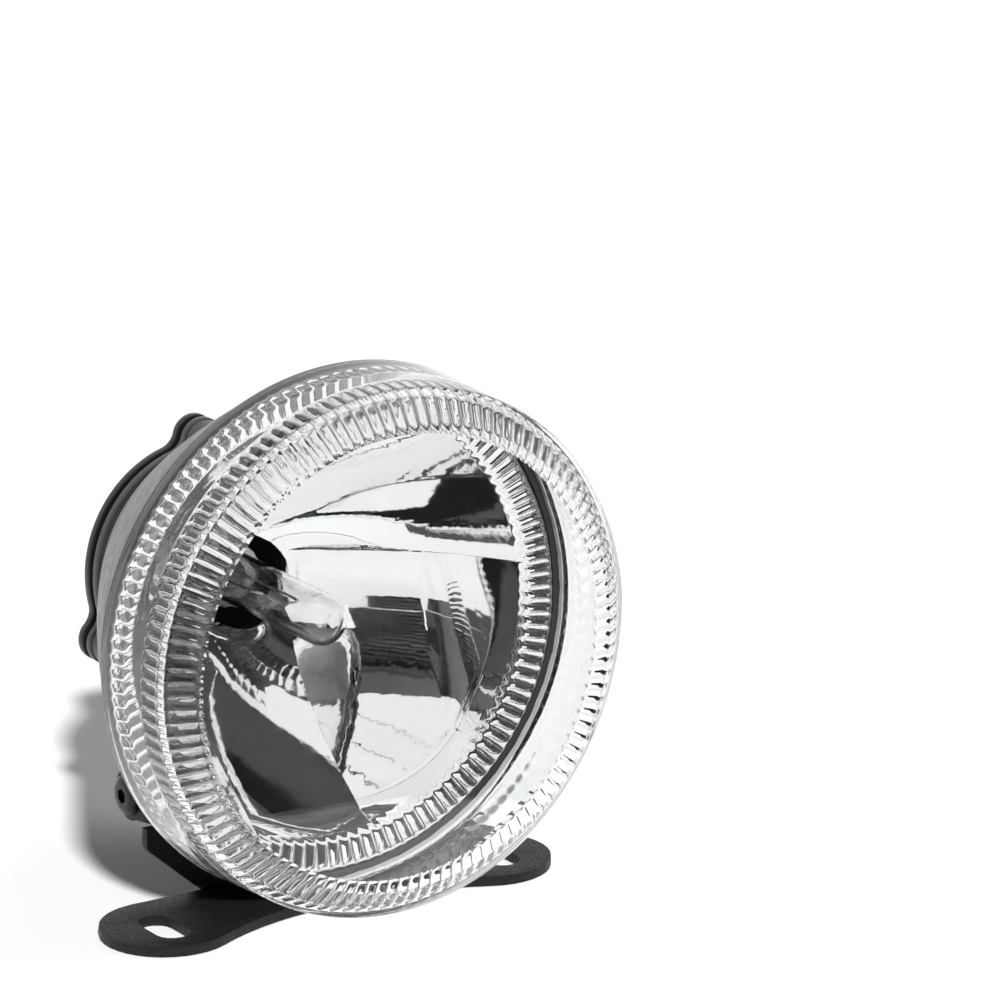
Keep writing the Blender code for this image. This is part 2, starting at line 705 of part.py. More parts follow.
def folded(u, v, depth):
    """Where a point of the flat plate lies once folded; depth is up from its underside."""
    x, side = abs(u), math.copysign(1, u)
    if v <= FOLD_Y:
        return (u, v, depth)
    if v <= FOLD_Y + FOLD_LENGTH:
        turn, radius = (v - FOLD_Y) / BEND_R, BEND_R - depth
        return (u, FOLD_Y + radius * math.sin(turn), BEND_R - radius * math.cos(turn))
    z = v - UP
    upright_corner = x < UPRIGHT_HALF_WIDTH + EDGE and z < CORNER_TOP_Z + EDGE
    if x <= EAR_FOLD_X or upright_corner:
        return (u, UPRIGHT_Y - depth, z)
    turn = min((x - EAR_FOLD_X) / INNER_R, PI / 2)
    radius = INNER_R + depth
    beyond = max(x - EAR_FOLD_X - EAR_FOLD_LENGTH, 0)
    return (
        side * (EAR_FOLD_X + radius * math.sin(turn)),
        UPRIGHT_Y + INNER_R - radius * math.cos(turn) + beyond,
        z,
    )


def fold_lines():
    """A point on each line that the plate bends along, with the line's flat normal."""
    shares = [i / FOLD_STEPS for i in range(FOLD_STEPS + 1)]
    lines = [((0, FOLD_Y + FOLD_LENGTH * share, 0), (0, 1, 0)) for share in shares]
    for side in (-1, 1):
        lines += [
            ((side * (EAR_FOLD_X + EAR_FOLD_LENGTH * share), 0, 0), (1, 0, 0))
            for share in shares
        ]
    return lines


def make_bracket(steel):
    right = bracket_half()
    outline = right + [(-u, v) for u, v in reversed(right[:-1])][:-1]
    holes = [slot_outline(side * SLOT_X) for side in (-1, 1)]
    for side in (-1, 1):
        centre = (side * ear_u(PIVOT_Y), UP + PIVOT_Z)
        holes.append(arc(centre, EAR_HOLE_R, 0, 337.5, 15))
    flat = flat_curve("bracket_plate", [outline, *holes], SHEET / 2)
    mesh = mesh_of_curve("mounting_bracket", flat)
    plate = bmesh.new()
    plate.from_mesh(mesh)
    for point, normal in fold_lines():
        everything = plate.verts[:] + plate.edges[:] + plate.faces[:]
        bmesh.ops.bisect_plane(
            plate, geom=everything, dist=1e-6, plane_co=point, plane_no=normal
        )
    for vert in plate.verts:
        u, v, w = vert.co
        vert.co = folded(u, v, w + SHEET / 2)
    bmesh.ops.recalc_face_normals(plate, faces=plate.faces)
    plate.to_mesh(mesh)
    plate.free()
    add_object("mounting_bracket", mesh, Matrix(), steel)


# ---------------------------------------------------------------- assembly


def main():
    clear_scene()
    lens_glass = material("lens_glass", (0.95, 0.97, 0.97), 0.02, transmission=1.0)
    bulb_glass = material("bulb_glass", (0.97, 0.97, 0.97), 0.01, transmission=1.0)
    chrome = material("reflector_chrome", (0.92, 0.92, 0.93), 0.05, metallic=1.0)
    shell_plastic = material("shell_plastic", (0.06, 0.06, 0.065), 0.42)
    rear_plastic = material("rear_plastic", (0.012, 0.012, 0.013), 0.38)
    coated_steel = material("coated_steel", (0.015, 0.015, 0.016), 0.55, metallic=0.2)
    black_bolt = material("black_bolt", (0.03, 0.03, 0.03), 0.35, metallic=0.8)
    plain_steel = material("plain_steel", (0.62, 0.62, 0.64), 0.28, metallic=1.0)
    brass = material("brass", (0.72, 0.53, 0.25), 0.3, metallic=1.0)
    tungsten = material("tungsten", (0.35, 0.35, 0.36), 0.4, metallic=1.0)
    rubber = material("rubber", (0.02, 0.02, 0.02), 0.8)
    nylon = material("nylon", (0.03, 0.03, 0.03), 0.6)

    make_bracket(coated_steel)
    make_lens(lens_glass, rubber)
    make_reflector(chrome)
    make_body_shell(shell_plastic)
    make_rear_housing(rear_plastic, rubber)
    make_housing_screws(plain_steel, brass)
    make_pivot_fixings(black_bolt, brass, nylon)
    make_capsule(bulb_glass)
    make_filament(tungsten, plain_steel)
    make_bulb_collar(plain_steel)
    make_bulb_base(rear_plastic, plain_steel, rubber)

    bpy.context.view_layer.update()
    tilt = bpy.data.objects.new("aim_tilt_axis", None)
    COLLECTION.objects.link(tilt)
    tilt.location = (0, PIVOT_Y, PIVOT_Z)
    turn = bpy.data.objects.new("bulb_twist_axis", None)
    COLLECTION.objects.link(turn)
    turn.location = (0, RIM_Y + TAB_S[0], AXIS_Z)
    bpy.context.view_layer.update()
    turn.parent = tilt
    turn.matrix_parent_inverse = tilt.matrix_world.inverted()
    for obj in list(COLLECTION.objects):
        if obj.type == "EMPTY" or obj.name == "mounting_bracket":
            continue
        carrier = turn if obj.name.startswith(("bulb_", "filament_")) else tilt
        place = obj.matrix_world.copy()
        obj.parent = carrier
        obj.matrix_parent_inverse = carrier.matrix_world.inverted()
        obj.matrix_world = place


main()
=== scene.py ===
"""Looks of the round fog light: glass, mirror, plastics, coated steel and the studio.

Metres, +Z up, in the CAD's frame. The lamp's pieces are drawn on the lamp axis: a station
is the distance behind the lens's rear rim, negative towards the front, and r is a radius.
"""

import math

import bmesh
import bpy
import numpy as np
from mathutils import Matrix, Vector


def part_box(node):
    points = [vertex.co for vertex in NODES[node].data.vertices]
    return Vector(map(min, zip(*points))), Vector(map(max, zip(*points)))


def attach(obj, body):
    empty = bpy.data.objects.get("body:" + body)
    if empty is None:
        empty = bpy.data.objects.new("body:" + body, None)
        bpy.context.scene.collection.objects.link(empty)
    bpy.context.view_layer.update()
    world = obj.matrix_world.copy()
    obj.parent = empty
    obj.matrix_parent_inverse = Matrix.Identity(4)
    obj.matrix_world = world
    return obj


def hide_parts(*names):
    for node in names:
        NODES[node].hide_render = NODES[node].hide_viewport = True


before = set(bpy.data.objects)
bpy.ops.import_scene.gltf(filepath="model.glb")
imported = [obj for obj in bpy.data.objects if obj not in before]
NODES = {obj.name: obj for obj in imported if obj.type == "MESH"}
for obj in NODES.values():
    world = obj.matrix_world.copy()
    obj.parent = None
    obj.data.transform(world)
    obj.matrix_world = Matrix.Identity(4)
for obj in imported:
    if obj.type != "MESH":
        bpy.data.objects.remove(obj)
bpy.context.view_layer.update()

MM = 0.001
PI = math.pi

# Driving dimensions, read from the frame
LENS_LOW, LENS_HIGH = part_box("lens")
RIM_Y = LENS_HIGH.y
AXIS_Z = (LENS_LOW.z + LENS_HIGH.z) / 2
LENS_R = (LENS_HIGH.x - LENS_LOW.x) / 2
CROWN_S = LENS_LOW.y - RIM_Y
PIVOT_LOW, PIVOT_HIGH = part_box("pivot_washer_right")
PIVOT_Y = (PIVOT_LOW.y + PIVOT_HIGH.y) / 2
PIVOT_Z = (PIVOT_LOW.z + PIVOT_HIGH.z) / 2

# Lens
FLUTES = 118
STEPS_PER_FLUTE = 8
LENS_WALL = 3.1 * MM
# rows of ribs inside the glass: height, start, end, and how square the ends are
RIB_ROWS = (
    (0.14 * MM, -3.2 * MM, -6.4 * MM, 2.0),
    (0.45 * MM, -12.2 * MM, -18.0 * MM, 4),
    (0.38 * MM, -17.6 * MM, -21.6 * MM, 5),
)

# Reflector
FOCAL_LENGTH, FOCUS_S = 13.8 * MM, 25 * MM
DISH_R, RING_R, RING_S = 44.5 * MM, 50 * MM, 1.3 * MM
RING_FLUTES = 108
BULB_HOLE_R, NECK_S = 9.5 * MM, 47 * MM

# Body shell and the lugged flange that it shares with the rear housing
CONE_S, CONE_R, CONE_SLOPE, CONE_BOW, CONE_END_S = 4 * MM, 52.4 * MM, 0.4693, 1.974, 54.5 * MM
FLANGE_R, LUG_CENTRE_R, LUG_R, LUG_FILLET = 25.7 * MM, 26.4 * MM, 4.6 * MM, 4 * MM
FLANGE_S, HOUSING_S = (53.5 * MM, 55.5 * MM), (56.9 * MM, 58.9 * MM)
LUG_ANGLES = (90, 210, 330)
BULB_TURN = 40
SHELL_WALL = 2.2 * MM
SHELL_BORE_R, SHELL_BORE_S = 21.5 * MM, 46.5 * MM
SHELL_RIM_R, SEAT_R, LEDGE_R, SEAT_S = 53 * MM, 50.6 * MM, 49.2 * MM, 3.4 * MM
VENT_ANGLE, VENT_RADIUS = 270, 19.8 * MM
WASHER_S, WASHER_R = (29.7 * MM, 30.2 * MM), (2.8 * MM, 4.9 * MM)

LAMP = Matrix.Translation((0, RIM_Y, AXIS_Z)) @ Matrix.Rotation(-PI / 2, 4, "X")


# ---------------------------------------------------------------- mesh helpers


def add_piece(name, data, look, body=None, stands_for=(), place=None):
    """Links an object, gives it its look and makes it ride on a body."""
    piece = bpy.data.objects.new(name, data)
    bpy.context.scene.collection.objects.link(piece)
    if look:
        data.materials.clear()
        data.materials.append(look)
    if place is not None:
        piece.matrix_world = place
    if body:
        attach(piece, body)
    if stands_for:
        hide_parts(*stands_for)
    return piece


def smooth(mesh, degrees=35):
    mesh.shade_smooth()
    mesh.set_sharp_from_angle(angle=math.radians(degrees))


def face_out(mesh):
    shape = bmesh.new()
    shape.from_mesh(mesh)
    bmesh.ops.recalc_face_normals(shape, faces=shape.faces)
    shape.to_mesh(mesh)
    shape.free()


def turned_mesh(name, profile, steps, relief=None, sharp=35):
    """A solid turned about local Z from (station, r) points; relief(turns, rows) may shape it.

    A profile that starts and ends on the axis closes there, and any other closes on itself.
    """
    on_axis = profile[0][1] == 0
    rows = np.array(profile[1:-1] if on_axis else profile, float)
    turns = np.arange(steps) * 2 * PI / steps
    s = np.repeat(rows[None, :, 0], steps, axis=0)
    r = np.repeat(rows[None, :, 1], steps, axis=0)
    if relief:
        ds, dr = relief(turns, rows)
        s, r = s + ds, r + dr
    x, y = r * np.cos(turns)[:, None], r * np.sin(turns)[:, None]
    verts = [tuple(p) for p in np.stack([x, y, s], axis=2).reshape(-1, 3)]
    count = len(rows)
    faces = []
    for i in range(steps):
        a, b = i * count, ((i + 1) % steps) * count
        faces += [(a + j, a + j + 1, b + j + 1, b + j) for j in range(count - 1)]
        if not on_axis:
            faces.append((a + count - 1, a, b, b + count - 1))
    if on_axis:
        first, last = len(verts), len(verts) + 1
        verts += [(0, 0, profile[0][0]), (0, 0, profile[-1][0])]
        for i in range(steps):
            a, b = i * count, ((i + 1) % steps) * count
            faces += [(first, a, b), (last, b + count - 1, a + count - 1)]
    mesh = bpy.data.meshes.new(name)
    mesh.from_pydata(verts, [], faces)
    face_out(mesh)
    smooth(mesh, sharp)
    return mesh


def between(start, end, steps):
    """Evenly spaced (station, r) points, without the last."""
    return [
        (start[0] + (end[0] - start[0]) * i / steps, start[1] + (end[1] - start[1]) * i / steps)
        for i in range(steps)
    ]


def arc(centre, radius, start, end, steps):
    turns = [math.radians(start + (end - start) * i / steps) for i in range(steps + 1)]
    return [(centre[0] + radius * math.cos(t), centre[1] + radius * math.sin(t)) for t in turns]


def rounded(points, radius, steps=4):
    """The open outline with its inner corners rounded."""
    made = [points[0]]
    for before, corner, after in zip(points, points[1:], points[2:]):
        c = Vector(corner)
        u, v = Vector(before) - c, Vector(after) - c
        reach = min(radius, 0.45 * u.length, 0.45 * v.length)
        p, q = c + u.normalized() * reach, c + v.normalized() * reach
        for i in range(steps + 1):
            t = i / steps
            made.append(tuple(p * (1 - t) ** 2 + c * 2 * t * (1 - t) + q * t**2))
    return made + [points[-1]]


def about(angle, radius):
    turn = math.radians(angle)
    return LAMP @ Matrix.Translation((radius * math.cos(turn), -radius * math.sin(turn), 0))


def facing(angle):
    return LAMP @ Matrix.Rotation(-math.radians(angle), 4, "Z")


def outward(side):
    return Matrix.Translation((0, PIVOT_Y, PIVOT_Z)) @ Matrix.Rotation(side * PI / 2, 4, "Y")


def tool(name, data, place):
    """A solid used only to join to another or to cut it."""
    return add_piece(name, data, None, place=place)


def rod_tool(name, radius, s0, s1, place=LAMP, steps=48):
    mesh = turned_mesh(name, [(s0, 0), (s0, radius), (s1, radius), (s1, 0)], steps)
    return tool(name, mesh, place)


def box_tool(name, size, centre, place, edge=0.0):
    mesh = bpy.data.meshes.new(name)
    shape = bmesh.new()
    bmesh.ops.create_cube(
        shape, size=1, matrix=Matrix.Translation(centre) @ Matrix.Diagonal((*size, 1))
    )
    if edge:
        bmesh.ops.bevel(
            shape, geom=shape.edges[:], offset=edge, segments=3, affect="EDGES", profile=0.5
        )
    shape.to_mesh(mesh)
    shape.free()
    return tool(name, mesh, place)


def carve(name, base, added, removed, sharp=35):
    """One mesh, in the row frame: the base with solids joined to it and then cut from it."""
    for operation, others in (("UNION", added), ("DIFFERENCE", removed)):
        for other in others:
            modifier = base.modifiers.new(other.name, "BOOLEAN")
            modifier.operation = operation
            modifier.object = other
    bpy.context.view_layer.update()
    graph = bpy.context.evaluated_depsgraph_get()
    mesh = bpy.data.meshes.new_from_object(base.evaluated_get(graph))
    mesh.transform(base.matrix_world)
    mesh.name = name
    for used in [base, *added, *removed]:
        bpy.data.objects.remove(used, do_unlink=True)
    smooth(mesh, sharp)
    return mesh


def softened_copy(node, width, segments=2, degrees=30):
    """A copy of a CAD node's mesh with its hard edges rounded."""
    mesh = NODES[node].data.copy()
    shape = bmesh.new()
    shape.from_mesh(mesh)
    bmesh.ops.remove_doubles(shape, verts=shape.verts, dist=1e-6)
    bmesh.ops.dissolve_limit(
        shape, angle_limit=math.radians(0.5), verts=shape.verts, edges=shape.edges
    )
    limit = math.radians(degrees)
    hard = [e for e in shape.edges if len(e.link_faces) == 2 and e.calc_face_angle() > limit]
    bmesh.ops.bevel(
        shape,
        geom=hard,
        offset=width,
        segments=segments,
        affect="EDGES",
        profile=0.5,
        clamp_overlap=True,
    )
    shape.to_mesh(mesh)
    shape.free()
    smooth(mesh, 40)
    return mesh


# ---------------------------------------------------------------- materials


def principled(name, colour, roughness, metallic=0.0, ior=1.5):
    made = bpy.data.materials.new(name)
    made.use_nodes = True
    shader = made.node_tree.nodes["Principled BSDF"]
    shader.inputs["Base Color"].default_value = (*colour, 1.0)
    shader.inputs["Roughness"].default_value = roughness
    shader.inputs["Metallic"].default_value = metallic
    shader.inputs["IOR"].default_value = ior
    return made


def noise(made, grain, detail=3.0, stretch=(1, 1, 1)):
    """Noise whose grains are about this many metres across."""
    tree = made.node_tree
    place = tree.nodes.new("ShaderNodeTexCoord")
    mapping = tree.nodes.new("ShaderNodeMapping")
    mapping.inputs["Scale"].default_value = stretch
    tree.links.new(place.outputs["Object"], mapping.inputs["Vector"])
    texture = tree.nodes.new("ShaderNodeTexNoise")
    texture.inputs["Scale"].default_value = 1 / grain
    texture.inputs["Detail"].default_value = detail
    tree.links.new(mapping.outputs["Vector"], texture.inputs["Vector"])
    return texture.outputs["Fac"]


def spread(made, source, low, high, start=0.3, end=0.7):
    """Maps noise from start..end to low..high."""
    node = made.node_tree.nodes.new("ShaderNodeMapRange")
    made.node_tree.links.new(source, node.inputs["Value"])
    for key, value in (("From Min", start), ("From Max", end), ("To Min", low), ("To Max", high)):
        node.inputs[key].default_value = value
    return node.outputs["Result"]


def add_bump(made, source, height, strength=1.0):
    tree = made.node_tree
    bump = tree.nodes.new("ShaderNodeBump")
    bump.inputs["Distance"].default_value = height
    bump.inputs["Strength"].default_value = strength
    tree.links.new(source, bump.inputs["Height"])
    tree.links.new(bump.outputs["Normal"], tree.nodes["Principled BSDF"].inputs["Normal"])


def tint(made, source, dark, light):
    """Base colour that runs from dark to light with the source."""
    tree = made.node_tree
    mix = tree.nodes.new("ShaderNodeMix")
    mix.data_type = "RGBA"
    mix.inputs["A"].default_value = (*dark, 1)
    mix.inputs["B"].default_value = (*light, 1)
    tree.links.new(source, mix.inputs["Factor"])
    tree.links.new(mix.outputs["Result"], tree.nodes["Principled BSDF"].inputs["Base Color"])


def vary_roughness(made, source, low, high):
    shader = made.node_tree.nodes["Principled BSDF"]
    made.node_tree.links.new(spread(made, source, low, high), shader.inputs["Roughness"])


def glass_look(name, colour, waviness, ior=1.5):
    """Clear glass that lets light through to what it covers."""
    made = principled(name, colour, 0.0, ior=ior)
    tree = made.node_tree
    shader = tree.nodes["Principled BSDF"]
    shader.inputs["Transmission Weight"].default_value = 1.0
    add_bump(made, noise(made, 4 * MM, 2), waviness)
    path = tree.nodes.new("ShaderNodeLightPath")
    clear = tree.nodes.new("ShaderNodeBsdfTransparent")
    clear.inputs["Color"].default_value = (*colour, 1)
    mix = tree.nodes.new("ShaderNodeMixShader")
    tree.links.new(path.outputs["Is Shadow Ray"], mix.inputs["Fac"])
    tree.links.new(shader.outputs["BSDF"], mix.inputs[1])
    tree.links.new(clear.outputs["BSDF"], mix.inputs[2])
    tree.links.new(mix.outputs["Shader"], tree.nodes["Material Output"].inputs["Surface"])
    return made


def make_looks():
    looks = {}
    looks["lens"] = glass_look("pressed_glass", (0.985, 0.99, 0.99), 0.00001)
    looks["capsule"] = glass_look("quartz_glass", (0.99, 0.99, 0.99), 0.00002, 1.46)

    mirror = principled("mirror_coating", (0.93, 0.93, 0.94), 0.02, 1.0)
    add_bump(mirror, noise(mirror, 7 * MM, 3), 0.00003)
    vary_roughness(mirror, noise(mirror, 12 * MM), 0.01, 0.05)
    looks["mirror"] = mirror

    shell = principled("satin_shell", (0.03, 0.03, 0.032), 0.36)
    add_bump(shell, noise(shell, 0.35 * MM), 0.000012)
    vary_roughness(shell, noise(shell, 3 * MM), 0.3, 0.42)
    tint(shell, noise(shell, 9 * MM), (0.024, 0.024, 0.026), (0.036, 0.036, 0.038))
    looks["shell"] = shell

    rear = principled("satin_black", (0.012, 0.012, 0.013), 0.33)
    add_bump(rear, noise(rear, 0.3 * MM), 0.00001)
    vary_roughness(rear, noise(rear, 2.5 * MM), 0.27, 0.42)
    tint(rear, noise(rear, 7 * MM), (0.004, 0.004, 0.0045), (0.009, 0.009, 0.0095))
    looks["rear"] = rear

    base = principled("bulb_plastic", (0.02, 0.02, 0.022), 0.45)
    add_bump(base, noise(base, 0.25 * MM), 0.000014)
    vary_roughness(base, noise(base, 2 * MM), 0.4, 0.55)
    looks["base"] = base

    coat = principled("powder_coat", (0.018, 0.018, 0.019), 0.5)
    add_bump(coat, noise(coat, 0.42 * MM, 2), 0.00016)
    vary_roughness(coat, noise(coat, 0.6 * MM), 0.38, 0.62)
    speckle = spread(coat, noise(coat, 0.38 * MM, 2), 0, 1)
    tint(coat, speckle, (0.003, 0.003, 0.0034), (0.016, 0.016, 0.017))
    coat.node_tree.nodes["Principled BSDF"].inputs["Specular IOR Level"].default_value = 0.22
    looks["coat"] = coat

    bolt = principled("black_oxide", (0.03, 0.03, 0.03), 0.3, 0.85)
    add_bump(bolt, noise(bolt, 0.2 * MM), 0.000006)
    vary_roughness(bolt, noise(bolt, 1 * MM), 0.24, 0.42)
    looks["bolt"] = bolt

    steel = principled("zinc_plate", (0.62, 0.62, 0.64), 0.25, 1.0)
    add_bump(steel, noise(steel, 0.3 * MM), 0.000006)
    vary_roughness(steel, noise(steel, 1.5 * MM), 0.18, 0.34)
    tint(steel, noise(steel, 2 * MM), (0.55, 0.55, 0.57), (0.7, 0.7, 0.71))
    looks["steel"] = steel

    brass = principled("brass", (0.72, 0.53, 0.25), 0.3, 1.0)
    vary_roughness(brass, noise(brass, 1 * MM), 0.22, 0.4)
    looks["brass"] = brass

    rubber = principled("rubber", (0.02, 0.02, 0.02), 0.75)
    add_bump(rubber, noise(rubber, 0.2 * MM), 0.00002)
    vary_roughness(rubber, noise(rubber, 1.2 * MM), 0.65, 0.85)
    looks["rubber"] = rubber

    sealant = principled("clear_sealant", (0.4, 0.4, 0.41), 0.45)
    add_bump(sealant, noise(sealant, 0.5 * MM), 0.00002)
    vary_roughness(sealant, noise(sealant, 1.5 * MM), 0.35, 0.55)
    looks["sealant"] = sealant

    tungsten = principled("tungsten", (0.35, 0.35, 0.36), 0.35, 1.0)
    vary_roughness(tungsten, noise(tungsten, 0.5 * MM), 0.3, 0.5)
    looks["tungsten"] = tungsten
    return looks


# ---------------------------------------------------------------- lens


def swell(position, start, end, power=2.0):
    """0 outside start..end, and 1 in the middle, with round ends."""
    t = (position - (start + end) / 2) / ((end - start) / 2)
    return np.sqrt(np.clip(1 - np.abs(t) ** power, 0, 1))


def lens_profile():
    """The glass's outline: round its outside from the crown, and back along its inside."""
    shoulder, window = (-19.9 * MM, 53.9 * MM), (-24.75 * MM, 47.4 * MM)
    crown_depth = window[0] - CROWN_S
    shares = (0, 0.2, 0.4, 0.6, 0.8, 0.9)
    crown = [(CROWN_S + crown_depth * t**2, window[1] * t) for t in shares]
    body = [crown[-1], window, shoulder, (0, LENS_R), (0, LENS_R - LENS_WALL)]
    outside = crown[:-1] + rounded(body, 0.5 * MM, 4)
    inner = [
        (0, LENS_R - LENS_WALL),
        (-2.5 * MM, 51.8 * MM),
        (-6.5 * MM, 51.6 * MM),
        (-12.0 * MM, 51.35 * MM),
        (-12.25 * MM, 50.95 * MM),
        (-17.5 * MM, 50.75 * MM),
        (-21.5 * MM, 45.6 * MM),
        (-21.8 * MM, 45.2 * MM),
    ]
    steps = (1, 12, 4, 2, 16, 18, 1)
    inside = []
    for start, end, count in zip(inner, inner[1:], steps):
        inside += between(start, end, count)
    edge = inner[-1]
    rear = CROWN_S + LENS_WALL
    inside += [(rear + (edge[0] - rear) * t**2, edge[1] * t) for t in (1, 0.9, 0.75, 0.5, 0.25, 0)]
    return outside + inside[1:], len(outside)


def make_lens(looks):
    profile, outside = lens_profile()
    inner = profile[outside - 1 :]
    lengths = np.cumsum([0] + [math.dist(a, b) for a, b in zip(inner, inner[1:])])
    wall_points = 55  # the inner points from the rear rim up to the front window
    wall = [-s for s, _ in inner[:wall_points]]

    def length_at(station):
        return float(np.interp(-station, wall, lengths[:wall_points]))

    def relief(turns, rows):
        """Rounded ribs on the inside: a short row, a long row and one on the bevel."""
        across = (turns * FLUTES / (2 * PI)) % 1 * 2 - 1
        rib = 1 - across**2
        along = np.zeros(len(rows))
        along[outside - 2 :] = lengths[: len(rows) - outside + 2]
        inside = np.arange(len(rows)) >= outside - 2
        heights = [
            height * swell(along, length_at(start), length_at(end), squareness)
            for height, start, end, squareness in RIB_ROWS
        ]
        height = np.where(inside, np.maximum.reduce(heights), 0)
        step = np.gradient(rows, axis=0)
        size = np.hypot(step[:, 0], step[:, 1]) + 1e-12
        out_s, out_r = step[:, 1] / size, -step[:, 0] / size
        # inside, the way into the lamp is behind the bevel and towards the axis on the wall
        ds = rib[:, None] * (height * np.abs(out_s))[None, :]
        dr = -rib[:, None] * (height * np.abs(out_r))[None, :]
        return ds, dr

    mesh = turned_mesh("lens_fluted", profile, FLUTES * STEPS_PER_FLUTE, relief, 28)
    add_piece("lens_fluted", mesh, looks["lens"], "lamp", ["lens"], LAMP)


# ---------------------------------------------------------------- reflector

# Facets of the dish: vertical strips split at a height. Above it they keep to the paraboloid.
# Below it each has a bow across its width and a sag that grows towards the dish's lower edge.
STRIPS = (-44.5, -18.0, 8.7, 31.2, 44.5)
SPLIT_Z = 6.0
LOWER_BOW = (0.0, -1.5, -1.5, 1.5)
LOWER_SAG = (0.0, 2.0, 4.0, 4.0)
STEP_WIDTH = 0.3 * MM  # of the steep wall between two facets


def dish_station(r):
    return FOCUS_S + FOCAL_LENGTH - r * r / (4 * FOCAL_LENGTH)


def facet_relief(x, z):
    """How far a facet stands behind the paraboloid."""
    x, z = x / MM, z / MM
    if z > SPLIT_Z:
        return 0.0
    strip = sum(x > edge for edge in STRIPS[1:-1])
    left, right = STRIPS[strip : strip + 2]
    t = (2 * x - left - right) / (right - left)
    fall = (SPLIT_Z - z) / STRIPS[-1]
    return MM * (LOWER_BOW[strip] * (1 - t * t) + LOWER_SAG[strip] * fall**2)


def make_reflector(looks):
    steps = RING_FLUTES * STEPS_PER_FLUTE
    ring_steps, dish_steps = 12, 44
    radii = [RING_R + (DISH_R - RING_R) * i / ring_steps for i in range(ring_steps)]
    radii += [DISH_R + (BULB_HOLE_R - DISH_R) * i / dish_steps for i in range(dish_steps + 1)]
    shape = bmesh.new()
    rows = []
    for i in range(steps):
        turn = 2 * PI * i / steps
        rows.append([shape.verts.new((r * math.cos(turn), r * math.sin(turn), 0)) for r in radii])
    for i in range(steps):
        a, b = rows[i], rows[(i + 1) % steps]
        for j in range(len(radii) - 1):
            shape.faces.new((a[j], b[j], b[j + 1], a[j + 1]))
    half = STEP_WIDTH / 2
    creases = []
    for offset in (-half, half):
        creases += [((x * MM + offset, 0, 0), (1, 0, 0)) for x in STRIPS[1:-1]]
        creases.append(((0, -SPLIT_Z * MM + offset, 0), (0, 1, 0)))
    for point, normal in creases:
        everything = shape.verts[:] + shape.edges[:] + shape.faces[:]
        cut = bmesh.ops.bisect_plane(
            shape, geom=everything, dist=1e-6, plane_co=point, plane_no=normal
        )
        for part in cut["geom_cut"]:
            if isinstance(part, bmesh.types.BMEdge):
                middle = (part.verts[0].co + part.verts[1].co) / 2
                part.smooth = middle.length > DISH_R
    for vert in shape.verts:
        x, y, _ = vert.co
        r = math.hypot(x, y)
        if r > DISH_R + 1e-6:
            share = (r - DISH_R) / (RING_R - DISH_R)
            base = dish_station(DISH_R) * (1 - share) + RING_S * share
            across = (math.atan2(y, x) * RING_FLUTES / (2 * PI)) % 1 * 2 - 1
            ends = float(swell(share, 0.02, 0.98, 6))
            vert.co.z = base - 0.55 * MM * (1 - across**2) * ends
        else:
            edge = min(1, (DISH_R - r) / (2 * MM)) * min(1, (r - BULB_HOLE_R) / (2 * MM))
            vert.co.z = dish_station(r) + facet_relief(x, -y) * edge
    near_hole = 2 * BULB_HOLE_R
    neck = [e for e in shape.edges if e.is_boundary and e.verts[0].co.to_2d().length < near_hole]
    made = bmesh.ops.extrude_edge_only(shape, edges=neck)
    for vert in (g for g in made["geom"] if isinstance(g, bmesh.types.BMVert)):
        vert.co.z = NECK_S
    for edge in neck:
        edge.smooth = False
    bmesh.ops.recalc_face_normals(shape, faces=shape.faces)
    mesh = bpy.data.meshes.new("reflector_faceted")
    shape.to_mesh(mesh)
    shape.free()
    for polygon in mesh.polygons:
        polygon.use_smooth = True
    piece = add_piece(
        "reflector_faceted", mesh, looks["mirror"], "lamp", ["reflector"], LAMP
    )
    wall = piece.modifiers.new("Wall", "SOLIDIFY")
    wall.thickness = 1.2 * MM
    front = mesh.polygons[0].normal.z < 0
    wall.offset = -1 if front else 1


# ---------------------------------------------------------------- shell and rear housing


def cone_radius(s):
    return CONE_R - CONE_SLOPE * (s - CONE_S) - CONE_BOW * (s - CONE_S) ** 2


def flange_outline():
    """A disc with three rounded lugs, each blended into the disc by two fillets."""
    near, far = FLANGE_R + LUG_FILLET, LUG_R + LUG_FILLET
    widen = math.acos((LUG_CENTRE_R**2 + near**2 - far**2) / (2 * LUG_CENTRE_R * near))
    points = []
    for angle in LUG_ANGLES:
        lug = math.radians(angle)
        centre = Vector((math.cos(lug), math.sin(lug))) * LUG_CENTRE_R
        for side in (-1, 1):
            turn = lug + side * widen
            fillet = Vector((math.cos(turn), math.sin(turn))) * near
            at_lug = math.degrees(math.atan2(*(centre - fillet).yx))
            at_disc = math.degrees(turn) + 180
            sweep = (at_lug - at_disc + 180) % 360 - 180
            blend = arc(fillet, LUG_FILLET, at_disc, at_disc + sweep, 14)
            if side < 0:
                points += blend
                start = math.degrees(math.atan2(*(fillet - centre).yx))
                half = (angle - start) % 360
                points += arc(centre, LUG_R, angle - half, angle + half, 32)[1:-1]
            else:
                points += blend[::-1]
                rest = angle + 120 - math.degrees(widen)
                points += arc((0, 0), FLANGE_R, math.degrees(turn), rest, 44)[1:-1]
    return points


